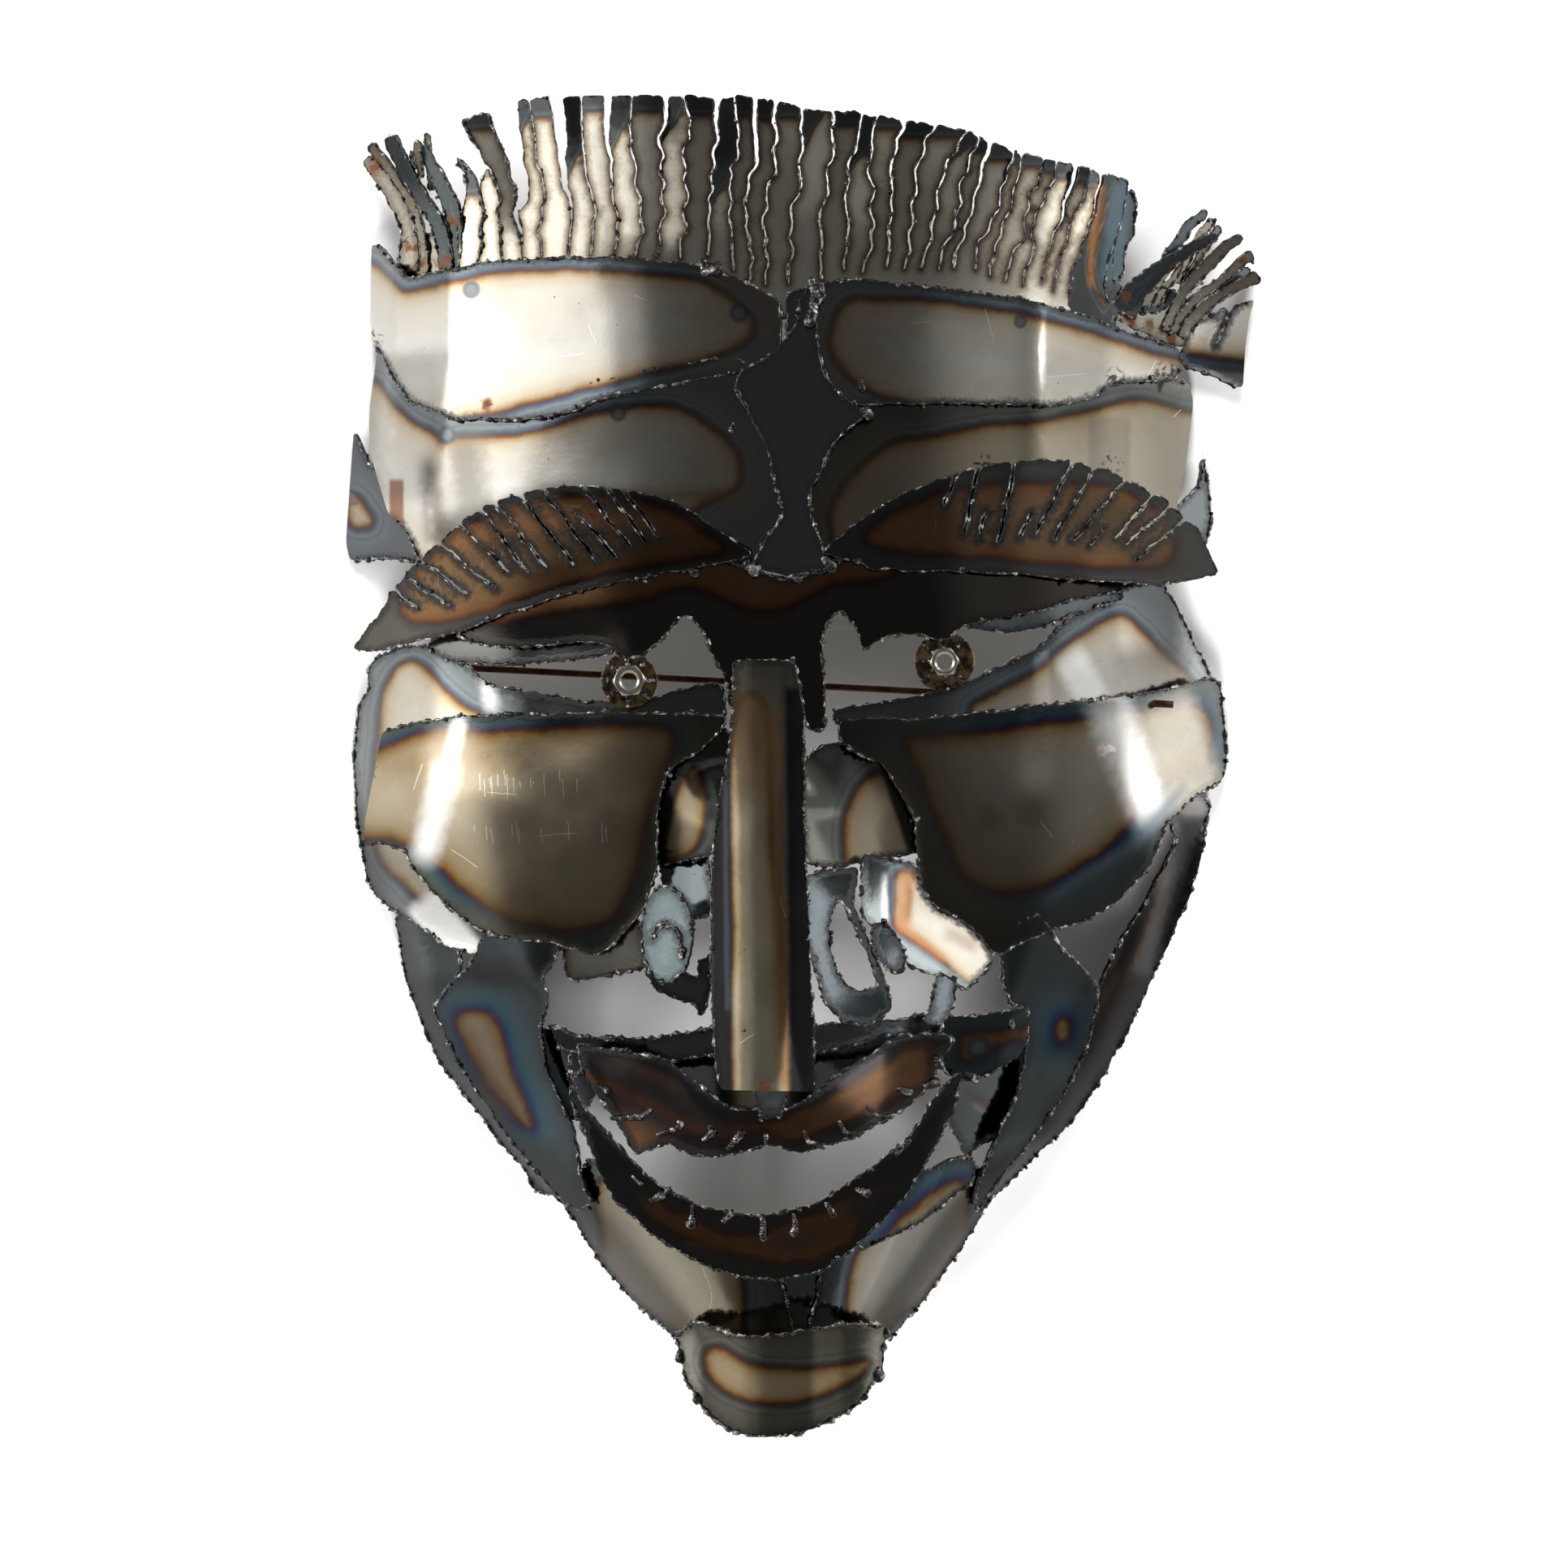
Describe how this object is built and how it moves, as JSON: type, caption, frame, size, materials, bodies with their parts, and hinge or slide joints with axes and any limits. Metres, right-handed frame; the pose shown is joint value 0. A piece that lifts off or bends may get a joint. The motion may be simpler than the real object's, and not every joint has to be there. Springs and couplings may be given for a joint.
{
  "type": "metal sculpture mask",
  "caption": "Smiling face mask, larger than life, welded from torch-cut and heat-tinted steel sheet, with a comb of cut hair strips and a hanging rod inside.",
  "frame": {"origin": "on the floor under the middle of the mask's outline, with the mask lying face up on its back rim", "axes": "+Z out of the face, +Y towards the hair, +X towards the right of the picture, which is the mask's own left side"},
  "size_m": [0.402, 0.5836, 0.1736],
  "materials": {
    "bare_steel": "bare mill steel with fine scratches and straw heat tint",
    "blue_steel": "heat-tinted slate blue",
    "brown_steel": "heat-tinted brown and copper",
    "black_steel": "scaled charcoal black",
    "zinc_steel": "pale zinc plate, browned near the welds"
  },
  "bodies": {
    "root": {"forehead_lower_left": "bare_steel", "forehead_lower_right": "bare_steel", "forehead_upper_left": "bare_steel", "forehead_upper_right": "bare_steel", "forehead_centre": "black_steel", "temple_left": "bare_steel", "temple_right": "brown_steel", "jaw_left": "bare_steel", "jaw_right": "brown_steel", "cheek_back_left": "bare_steel", "cheek_back_right": "bare_steel", "cheek_lower_left": "blue_steel", "cheek_lower_right": "blue_steel", "cheek_left": "bare_steel", "cheek_right": "bare_steel", "brow_ridge": "brown_steel", "brow_left": "brown_steel", "brow_right": "brown_steel", "lid_left": "blue_steel", "lid_right": "blue_steel", "nose_bar": "bare_steel", "nose_side_left": "blue_steel", "nose_side_right": "blue_steel", "nose_brace": "black_steel", "nostril_left_upper": "bare_steel", "nostril_left": "bare_steel", "nostril_left_lobe": "brown_steel", "flange_left": "bare_steel", "nostril_right": "bare_steel", "nostril_right_wing": "bare_steel", "nostril_right_oval": "black_steel", "nostril_right_tab": "black_steel", "mouth_back": "black_steel", "upper_lip_back": "black_steel", "mouth_corner_left": "black_steel", "mouth_corner_right_lower": "bare_steel", "mouth_corner_right_upper": "brown_steel", "lip_upper": "brown_steel", "lip_lower": "brown_steel", "chin_back": "black_steel", "chin_left": "bare_steel", "chin_right": "bare_steel", "chin_right_strip": "blue_steel", "chin_cup": "bare_steel", "hair_top": "bare_steel", "hair_left_tuft": "bare_steel", "hair_right_tuft": "bare_steel", "corner_plate": "bare_steel", "eye_washer_left": "zinc_steel", "eye_washer_right": "zinc_steel", "hanging_rod": "brown_steel", "eye_nut_left": "zinc_steel", "eye_nut_right": "zinc_steel"}
  },
  "joints": []
}
